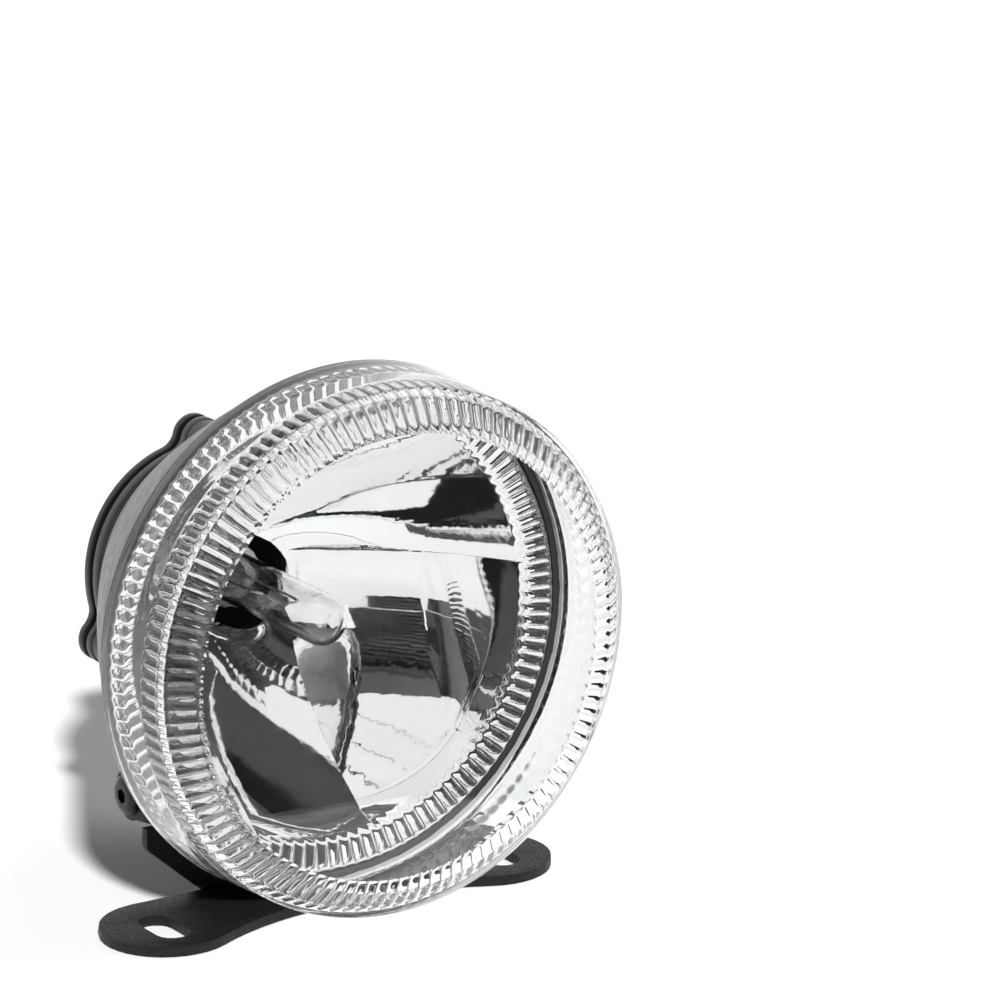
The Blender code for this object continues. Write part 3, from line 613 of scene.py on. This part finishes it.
def flange_tool(name, s0, s1, edge):
    """The lugged plate between two stations, with rounded rims."""
    outline = flange_outline()
    shape = bmesh.new()
    low = [shape.verts.new((x, -y, s0)) for x, y in outline]
    top = [shape.verts.new((x, -y, s1)) for x, y in outline]
    rims = [shape.faces.new(low), shape.faces.new(top[::-1])]
    for i in range(len(outline)):
        j = (i + 1) % len(outline)
        shape.faces.new((low[i], top[i], top[j], low[j]))
    bmesh.ops.recalc_face_normals(shape, faces=shape.faces)
    edges = {e for f in rims for e in f.edges}
    bmesh.ops.bevel(
        shape, geom=list(edges), offset=edge, segments=3, affect="EDGES", profile=0.5
    )
    mesh = bpy.data.meshes.new(name)
    shape.to_mesh(mesh)
    shape.free()
    return tool(name, mesh, LAMP)


def make_shell(looks):
    count, front, rim_end = 24, 1.8 * MM, 3.6 * MM
    stations = [CONE_S + (CONE_END_S - CONE_S) * i / count for i in range(count + 1)]
    rim = [(front, SEAT_R), (front, SHELL_RIM_R), (rim_end, SHELL_RIM_R), (CONE_S, CONE_R)]
    outer = rounded(rim, 0.4 * MM)[:-1] + [(s, cone_radius(s)) for s in stations]
    hollow_start, hollow_length = 6 * MM, 38 * MM
    inner_stations = [hollow_start + hollow_length * i / count for i in range(count + 1)]
    cone_inside = [(s, cone_radius(s) - SHELL_WALL) for s in inner_stations]
    inner = [(SEAT_S, SEAT_R), (SEAT_S, LEDGE_R)] + cone_inside + [(SHELL_BORE_S, SHELL_BORE_R)]
    profile = outer + [(CONE_END_S, SHELL_BORE_R)] + inner[::-1]
    base = tool("shell_cone", turned_mesh("shell_cone", profile, 192), LAMP)
    added = [flange_tool("shell_flange", *FLANGE_S, 0.4 * MM)]
    boss_r, boss_s = 4.3 * MM, (49.5 * MM, 54.5 * MM)
    for angle in LUG_ANGLES:
        place = about(angle, LUG_CENTRE_R)
        added.append(rod_tool(f"lug_boss_{angle}", boss_r, *boss_s, place))
    pivot_r, pivot_s = 5 * MM, (8 * MM, 29.4 * MM)
    web_size, web_x, web_rise = (15 * MM, 2.6 * MM, 11.5 * MM), 18.5 * MM, 6 * MM
    for side in (-1, 1):
        boss = [(pivot_s[0], 0), (pivot_s[0], pivot_r), (pivot_s[1], pivot_r), (pivot_s[1], 0)]
        mesh = turned_mesh(f"pivot_boss_{side}", rounded(boss, 0.3 * MM), 48)
        added.append(tool(f"pivot_boss_{side}", mesh, outward(side)))
        centre = (side * web_x, PIVOT_Y, PIVOT_Z + web_rise)
        added.append(box_tool(f"pivot_web_{side}", web_size, centre, Matrix(), 0.4 * MM))
    open_front, open_rear = 0.5 * MM, 57 * MM
    hollow = [(open_front, 0), (open_front, LEDGE_R), (SEAT_S, LEDGE_R)] + cone_inside
    hollow += [(SHELL_BORE_S, SHELL_BORE_R), (open_rear, SHELL_BORE_R), (open_rear, 0)]
    removed = [tool("shell_hollow", turned_mesh("shell_hollow", hollow, 192), LAMP)]
    hole_r, hole_s = 3.3 * MM, (50.4 * MM, open_rear)
    for angle in LUG_ANGLES:
        place = about(angle, LUG_CENTRE_R)
        removed.append(rod_tool(f"insert_hole_{angle}", hole_r, *hole_s, place))
    hole_r, hole_s = 3.7 * MM, (23.2 * MM, 31 * MM)
    for side in (-1, 1):
        removed.append(rod_tool(f"pivot_hole_{side}", hole_r, *hole_s, outward(side)))
    mesh = carve("lamp_shell", base, added, removed)
    add_piece("lamp_shell", mesh, looks["shell"], "lamp", ["body_shell"])


def make_rear_housing(looks):
    inside, barrel_r, barrel_end = HOUSING_S[0] + 1 * MM, 15.5 * MM, 66.2 * MM
    base = flange_tool("housing_plate", *HOUSING_S, 0.45 * MM)
    barrel = [(inside, 0), (inside, barrel_r), (barrel_end, barrel_r), (barrel_end, 0)]
    barrel_mesh = turned_mesh("socket_barrel", rounded(barrel, 0.7 * MM), 128)
    vent = about(VENT_ANGLE, VENT_RADIUS)
    added = [
        rod_tool("socket_sleeve", 14.5 * MM, 50 * MM, inside + 0.3 * MM, LAMP, 128),
        tool("socket_barrel", barrel_mesh, LAMP),
        rod_tool("vent_nipple", 2.2 * MM, 58.4 * MM, 63.5 * MM, vent),
    ]
    rib_size, rib_centre = (10 * MM, 1.8 * MM, 2.6 * MM), (18.5 * MM, 0, 59.5 * MM)
    for angle in LUG_ANGLES:
        added.append(box_tool(f"lug_rib_{angle}", rib_size, rib_centre, facing(angle), 0.4 * MM))
    front, rear, ledge_s = 49 * MM, 68 * MM, (52 * MM, 54 * MM)
    recess_r, ledge_r, bore_r = 12.3 * MM, 9.9 * MM, 11.6 * MM
    bore = [
        (front, 0),
        (front, recess_r),
        (ledge_s[0], recess_r),
        (ledge_s[0], ledge_r),
        (ledge_s[1], ledge_r),
        (ledge_s[1], bore_r),
        (rear, bore_r),
        (rear, 0),
    ]
    removed = [tool("socket_bore", turned_mesh("socket_bore", bore, 128), LAMP)]
    notch_size, notch_centre = (4.2 * MM, 5.6 * MM, 3 * MM), (10.1 * MM, 0, 53 * MM)
    screw_hole_r, plate_s = 2.3 * MM, (56 * MM, 60 * MM)
    for angle in LUG_ANGLES:
        notch_place, screw_place = facing(angle - BULB_TURN), about(angle, LUG_CENTRE_R)
        removed.append(box_tool(f"notch_{angle}", notch_size, notch_centre, notch_place))
        removed.append(rod_tool(f"screw_hole_{angle}", screw_hole_r, *plate_s, screw_place))
    removed.append(rod_tool("vent_hole", 1 * MM, 56 * MM, 65 * MM, vent))
    mesh = carve("rear_cover", base, added, removed)
    add_piece("rear_cover", mesh, looks["rear"], "lamp", ["rear_housing"])

    cap = [
        (59.6 * MM, 2.5 * MM),
        (59.6 * MM, 3.4 * MM),
        (62 * MM, 3.4 * MM),
        (62.2 * MM, 3.1 * MM),
        (62.6 * MM, 3.1 * MM),
        (62.8 * MM, 3.4 * MM),
        (65.2 * MM, 3.4 * MM),
        (65.6 * MM, 2.8 * MM),
        (65.6 * MM, 0.01 * MM),
        (64.1 * MM, 0.01 * MM),
        (64.1 * MM, 2.5 * MM),
    ]
    mesh = turned_mesh("breather_cap", cap, 64)
    add_piece("breather_cap", mesh, looks["rubber"], "lamp", ["vent_cap"], vent)


# ---------------------------------------------------------------- fixings


def make_fixings(looks):
    head, head_r, rim, dome = HOUSING_S[1] + 0.3 * MM, 3.6 * MM, 0.9 * MM, 1.4 * MM
    profile = [
        (51 * MM, 0),
        (51 * MM, 1.4 * MM),
        (51.5 * MM, 1.9 * MM),
        (head, 1.9 * MM),
        (head, head_r),
        (head + rim, head_r),
    ]
    turns = (0.35, 0.7, 1.05, 1.4)
    profile += [(head + rim + dome * math.sin(t), head_r * math.cos(t)) for t in turns]
    profile.append((head + rim + dome, 0))
    slot_size, slot_centre = (3.6 * MM, 0.8 * MM, 3 * MM), (0, 0, head + 2.7 * MM)
    for number, angle in enumerate(LUG_ANGLES, 1):
        place = about(angle, LUG_CENTRE_R)
        name = f"pan_screw_{number}"
        base = tool(name, turned_mesh(name, profile, 64), place)
        slots = []
        for turn in (0, 90):
            turned_place = place @ Matrix.Rotation(math.radians(turn), 4, "Z")
            slots.append(box_tool(f"drive_{number}_{turn}", slot_size, slot_centre, turned_place))
        mesh = carve(name, base, [], slots)
        add_piece(name, mesh, looks["steel"], "lamp", [f"housing_screw_{number}"])

    height, rim, dome, head_r, fall = 1.6 * MM, 0.3 * MM, 1.3 * MM, 4.2 * MM, 1.9 * MM
    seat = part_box("pivot_bolt_right")[1].x - height
    profile = [
        (24 * MM, 0),
        (24 * MM, 1.9 * MM),
        (24.5 * MM, 2.4 * MM),
        (seat, 2.4 * MM),
        (seat, head_r),
        (seat + rim, head_r),
    ]
    for t in (0.4, 0.8, 1.2, 1.55):
        profile.append((seat + rim + dome * math.sin(t), head_r - fall * (1 - math.cos(t))))
    profile.append((seat + height, 0))
    hex_r, hex_floor, hex_end = 1.6 * MM, 0.6 * MM, 3 * MM
    (s0, s1), (r0, r1) = WASHER_S, WASHER_R
    washer = [(s0, r0), (s0, r1), (s1, r1), (s1, r0)]
    for side, hand in ((-1, "left"), (1, "right")):
        place = outward(side)
        name = f"button_bolt_{hand}"
        base = tool(name, turned_mesh(name, profile, 64), place)
        socket = rod_tool(f"hex_{hand}", hex_r, seat + hex_floor, seat + hex_end, place, 6)
        mesh = carve(name, base, [], [socket])
        add_piece(name, mesh, looks["bolt"], "lamp", [f"pivot_bolt_{hand}"])
        name = f"spacer_{hand}"
        mesh, node = turned_mesh(name, washer, 64), f"pivot_washer_{hand}"
        add_piece(name, mesh, looks["rubber"], "lamp", [node], place)


# ---------------------------------------------------------------- bulb


def wire(name, points, radius, look, stands_for, resolution=4):
    curve = bpy.data.curves.new(name, "CURVE")
    curve.dimensions = "3D"
    curve.bevel_depth = radius
    curve.bevel_resolution = resolution
    curve.use_fill_caps = True
    spline = curve.splines.new("POLY")
    spline.points.add(len(points) - 1)
    for point, co in zip(spline.points, points):
        point.co = (*co, 1)
    return add_piece(name, curve, look, "bulb", stands_for, LAMP)


def make_bulb(looks):
    tip, radius, wall, rear = 4.5 * MM, 5.3 * MM, 0.9 * MM, 52 * MM
    dome = 4 * MM
    turns = [PI / 2 * i / 12 for i in range(13)]
    outer = [(tip, 0)] + [(tip + dome * (1 - math.cos(t)), radius * math.sin(t)) for t in turns[1:]]
    # the tipped-off end leaves a small bead inside the dome
    outer[1:3] = [(tip + 0.02 * MM, 0.6 * MM), (tip + 0.25 * MM, 1.3 * MM)]
    inner_r = radius - wall
    inner_tip, inner_dome = tip + 1.5 * MM, 3.2 * MM
    inner = [(inner_tip + inner_dome * (1 - math.cos(t)), inner_r * math.sin(t)) for t in turns]
    profile = outer + [(rear, radius), (rear, inner_r)] + inner[::-1][:-1] + [(inner_tip, 0)]
    mesh = turned_mesh("quartz_capsule", profile, 96, None, 30)
    add_piece("quartz_capsule", mesh, looks["capsule"], "bulb", ["bulb_glass"], LAMP)

    coils, per_turn, coil_r, coil_length = 14, 16, 0.9 * MM, 5.4 * MM
    count = coils * per_turn
    coil = [
        (
            coil_r * math.cos(2 * PI * i / per_turn),
            coil_r * math.sin(2 * PI * i / per_turn),
            FOCUS_S + coil_length * (i / count - 0.5),
        )
        for i in range(count + 1)
    ]
    wire("coiled_filament", coil, 0.13 * MM, looks["tungsten"], ["bulb_filament"], 3)
    front, back, lead = FOCUS_S - 4 * MM, FOCUS_S + 4.2 * MM, 52.6 * MM
    long_x, short_x, bend = 2.8 * MM, -2 * MM, 1.2 * MM
    long_lead = [(long_x, lead), (long_x, front + bend)]
    for t in (0.4, 0.8, 1.2, PI / 2):
        x = long_x - bend + bend * math.cos(t)
        long_lead.append((x, front + bend - bend * math.sin(t)))
    long_lead.append((0, front))
    short_lead = [(short_x, lead), (short_x, back + 3 * MM)]
    short_lead += [(-1.7 * MM, back + 2 * MM), (-0.8 * MM, back)]
    for name, lead_points in (("long", long_lead), ("short", short_lead)):
        points = [(x, 0, s) for x, s in lead_points]
        node = f"filament_support_{name}"
        wire(f"lead_{name}", points, 0.3 * MM, looks["steel"], [node])

    collar = [
        (45 * MM, 5.7 * MM),
        (45 * MM, 7.4 * MM),
        (46.2 * MM, 8 * MM),
        (55.7 * MM, 8 * MM),
        (55.7 * MM, 0.01 * MM),
        (53 * MM, 0.01 * MM),
        (53 * MM, 5.7 * MM),
    ]
    mesh, steel = turned_mesh("capsule_collar", collar, 96), looks["steel"]
    add_piece("capsule_collar", mesh, steel, "bulb", ["bulb_collar"], LAMP)

    body = [
        (56 * MM, 0),
        (56 * MM, 8.4 * MM),
        (50.2 * MM, 8.4 * MM),
        (50.2 * MM, 9.5 * MM),
        (54.4 * MM, 9.5 * MM),
        (54.4 * MM, 11.1 * MM),
        (58 * MM, 11.1 * MM),
        (58 * MM, 9.3 * MM),
        (60.8 * MM, 9.3 * MM),
        (60.8 * MM, 11.1 * MM),
        (66.6 * MM, 11.1 * MM),
        (66.6 * MM, 14.5 * MM),
        (69 * MM, 14.5 * MM),
        (69 * MM, 0),
    ]
    base = tool("plug_body", turned_mesh("plug_body", rounded(body, 0.25 * MM, 3), 128), LAMP)
    shroud_size, shroud_centre = (17 * MM, 11 * MM, 16 * MM), (0, 0, 76 * MM)
    latch_size, latch_centre = (6 * MM, 1.4 * MM, 4.2 * MM), (0, -5.9 * MM, 78 * MM)
    added = [
        box_tool("shroud", shroud_size, shroud_centre, LAMP, 1 * MM),
        box_tool("latch", latch_size, latch_centre, LAMP, 0.3 * MM),
    ]
    tab_size, tab_centre = (3 * MM, 5 * MM, 1.4 * MM), (10.4 * MM, 0, 51 * MM)
    for angle in LUG_ANGLES:
        added.append(box_tool(f"tab_{angle}", tab_size, tab_centre, facing(angle), 0.2 * MM))
    socket_size, socket_centre = (13.4 * MM, 7.4 * MM, 15 * MM), (0, 0, 78.5 * MM)
    removed = [box_tool("plug_socket", socket_size, socket_centre, LAMP, 0.5 * MM)]
    slot_size, slot_x, slot_s = (1.6 * MM, 3.6 * MM, 6 * MM), 4 * MM, 69 * MM
    for side in (-1, 1):
        removed.append(box_tool(f"slot_{side}", slot_size, (side * slot_x, 0, slot_s), LAMP))
    grip_size, grip_centre, grip_pitch = (1.6 * MM, 1.4 * MM, 4 * MM), (15.1 * MM, 0, 67.8 * MM), 12
    plain_flanks = (40, 140)  # no notches above and below, only at the two sides
    for turn in range(0, 360, grip_pitch):
        if plain_flanks[0] < turn % 180 < plain_flanks[1]:
            continue
        removed.append(box_tool(f"grip_{turn}", grip_size, grip_centre, facing(turn)))
    mesh = carve("bulb_plug", base, added, removed)
    add_piece("bulb_plug", mesh, looks["base"], "bulb", ["bulb_base"])

    ring = [(59.4 * MM + x, 10.4 * MM + y) for x, y in arc((0, 0), 0.95 * MM, 0, 345, 23)]
    mesh = turned_mesh("seal_ring", ring, 128, None, 60)
    add_piece("seal_ring", mesh, looks["rubber"], "bulb", ["bulb_o_ring"], LAMP)
    for hand in ("left", "right"):
        node = f"bulb_terminal_{hand}"
        mesh = softened_copy(node, 0.15 * MM)
        add_piece(f"blade_{hand}", mesh, steel, "bulb", [node])


# ---------------------------------------------------------------- bracket and CAD nodes that stay


def make_bracket(looks):
    node = "mounting_bracket"
    mesh = softened_copy(node, 0.35 * MM, 3)
    add_piece("folded_bracket", mesh, looks["coat"], "bracket", [node])


def repaint_nodes(looks):
    """CAD nodes whose shape is right get their looks."""
    choices = {
        "lens_seal": "sealant",
        "housing_gasket": "rubber",
        **{f"pivot_insert_{hand}": "brass" for hand in ("left", "right")},
        **{f"housing_insert_{number}": "brass" for number in (1, 2, 3)},
    }
    for node, look in choices.items():
        slots = NODES[node].data.materials
        slots.clear()
        slots.append(looks[look])


# ---------------------------------------------------------------- studio and camera


def make_camera():
    azimuth, elevation = math.radians(-31.4), math.radians(17.5)
    distance, lens = 1.2, 217.4
    aim_right, aim_up = 31.6 * MM, 25.4 * MM  # from the centre of the lens's rear rim
    target = Vector((0, RIM_Y, AXIS_Z))
    back = Vector((
        math.sin(azimuth) * math.cos(elevation),
        -math.cos(azimuth) * math.cos(elevation),
        math.sin(elevation),
    ))
    right = Vector((math.cos(azimuth), math.sin(azimuth), 0))
    up = back.cross(right)
    place = target + back * distance
    aim = target + right * aim_right + up * aim_up
    camera = bpy.data.objects.new("camera", bpy.data.cameras.new("camera"))
    camera.data.lens, camera.data.sensor_width = lens, 36
    camera.data.clip_start, camera.data.clip_end = 0.05, 50
    camera.location = place
    camera.rotation_mode = "QUATERNION"
    camera.rotation_quaternion = (aim - place).to_track_quat("-Z", "Y")
    bpy.context.scene.collection.objects.link(camera)
    bpy.context.scene.camera = camera


# Directions are an azimuth and an elevation; KEY_SPREAD softens the key light's shadow
STUDIO_CENTRE = Vector((0, 0, AXIS_Z))
WORLD_STRENGTH = 0.035
LIGHT_DISTANCE = 1.9
KEY_DIRECTION, KEY_STRENGTH, KEY_SPREAD = (-24, 41), 4.9, 4.5
FILL_DIRECTION, FILL_WATTS = (95, 60), 8
FLOOR_SIZE, FLOOR_DROP = 4.0, 0.0002


def aimed_at(place, target):
    turn = (Vector(target) - Vector(place)).to_track_quat("-Z", "Y")
    return Matrix.Translation(place) @ turn.to_matrix().to_4x4()


def soft_light(name, place, target, size, watts):
    light = bpy.data.lights.new(name, "AREA")
    light.shape, light.size, light.size_y = "RECTANGLE", *size
    light.energy = watts
    lamp = bpy.data.objects.new(name, light)
    lamp.matrix_world = aimed_at(place, target)
    lamp.visible_camera = lamp.visible_glossy = lamp.visible_transmission = False
    bpy.context.scene.collection.objects.link(lamp)


def key_light(name, place, target, strength, spread_degrees):
    """Even light from one direction, wide enough to soften its shadow."""
    light = bpy.data.lights.new(name, "SUN")
    light.energy, light.angle = strength, math.radians(spread_degrees)
    lamp = bpy.data.objects.new(name, light)
    lamp.matrix_world = aimed_at(place, target)
    lamp.visible_glossy = lamp.visible_transmission = False
    bpy.context.scene.collection.objects.link(lamp)


def finish_card(name, points, place, strength):
    """A plain panel that shows only in reflections and through glass."""
    look = bpy.data.materials.new(name)
    look.use_nodes = True
    tree = look.node_tree
    tree.nodes.remove(tree.nodes["Principled BSDF"])
    glow = tree.nodes.new("ShaderNodeEmission")
    glow.inputs["Color"].default_value = (1, 1, 1, 1)
    glow.inputs["Strength"].default_value = strength
    tree.links.new(glow.outputs["Emission"], tree.nodes["Material Output"].inputs["Surface"])
    mesh = bpy.data.meshes.new(name)
    mesh.from_pydata(points, [], [tuple(range(len(points)))])
    piece = add_piece(name, mesh, look, place=place)
    piece.visible_camera = piece.visible_diffuse = piece.visible_shadow = False


def card(name, place, target, size, strength):
    x, y = size[0] / 2, size[1] / 2
    points = [(-x, -y, 0), (x, -y, 0), (x, y, 0), (-x, y, 0)]
    finish_card(name, points, aimed_at(place, target), strength)


def towards(azimuth, elevation, distance):
    """A point seen from the lamp; azimuth 0 is in front of the lens and 90 is on its +X side."""
    a, e = math.radians(azimuth), math.radians(elevation)
    reach = Vector((math.sin(a) * math.cos(e), -math.cos(a) * math.cos(e), math.sin(e)))
    return STUDIO_CENTRE + reach * distance


def flat_card(name, azimuths, distances, strength):
    """A fan-shaped card just above the floor, between two directions and two distances."""
    steps = 12
    points = []
    for distance, turns in ((distances[0], range(steps + 1)), (distances[1], range(steps, -1, -1))):
        for i in turns:
            a = math.radians(azimuths[0] + (azimuths[1] - azimuths[0]) * i / steps)
            points.append((distance * math.sin(a), -distance * math.cos(a), 0.6 * MM))
    finish_card(name, points, Matrix(), strength)


def make_studio():
    floor_look = principled("pale_floor", (0.9, 0.9, 0.9), 0.6)
    mesh = bpy.data.meshes.new("floor")
    corners = ((-1, -1), (1, -1), (1, 1), (-1, 1))
    points = [(x * FLOOR_SIZE, y * FLOOR_SIZE, -FLOOR_DROP) for x, y in corners]
    mesh.from_pydata(points, [], [(0, 1, 2, 3)])
    add_piece("floor", mesh, floor_look)

    world = bpy.data.worlds.new("studio")
    world.use_nodes = True
    background = world.node_tree.nodes["Background"]
    background.inputs["Color"].default_value = (1, 1, 1, 1)
    background.inputs["Strength"].default_value = WORLD_STRENGTH
    bpy.context.scene.world = world

    key_place = towards(*KEY_DIRECTION, LIGHT_DISTANCE)
    key_light("key", key_place, STUDIO_CENTRE, KEY_STRENGTH, KEY_SPREAD)
    fill_place = towards(*FILL_DIRECTION, LIGHT_DISTANCE)
    soft_light("fill", fill_place, STUDIO_CENTRE, (0.8, 0.8), FILL_WATTS)
    # panels, white but for the last: azimuth, elevation, distance, (width, height), strength
    for name, azimuth, elevation, distance, size, strength in (
        ("overhead", 0, 90, 1.6, (3.2, 2.8), 1.0),
        ("back_wall", 180, 14, 1.6, (3.6, 1.9), 1.0),
        ("right_wall", 92, 20, 1.6, (2.0, 1.7), 0.95),
        ("left_wall", -118, 20, 1.6, (2.0, 1.7), 0.95),
        ("low_front", -20, 3, 1.4, (1.0, 0.4), 1.2),
        ("dark_front", -15, 27, 2.2, (7.0, 2.1), 0.012),
    ):
        card(name, towards(azimuth, elevation, distance), STUDIO_CENTRE, size, strength)
    flat_card("dark_left", (-88, -42), (0.34, 3.0), 0.02)
    flat_card("dark_right", (4, 92), (0.1, 1.3), 0.02)


def main():
    looks = make_looks()
    make_camera()
    make_studio()
    make_lens(looks)
    make_reflector(looks)
    make_shell(looks)
    make_rear_housing(looks)
    make_fixings(looks)
    make_bulb(looks)
    make_bracket(looks)
    repaint_nodes(looks)
    scene = bpy.context.scene
    scene.view_settings.view_transform = "Standard"
    scene.cycles.max_bounces = 24
    scene.cycles.transmission_bounces = 20
    scene.cycles.glossy_bounces = 12


main()
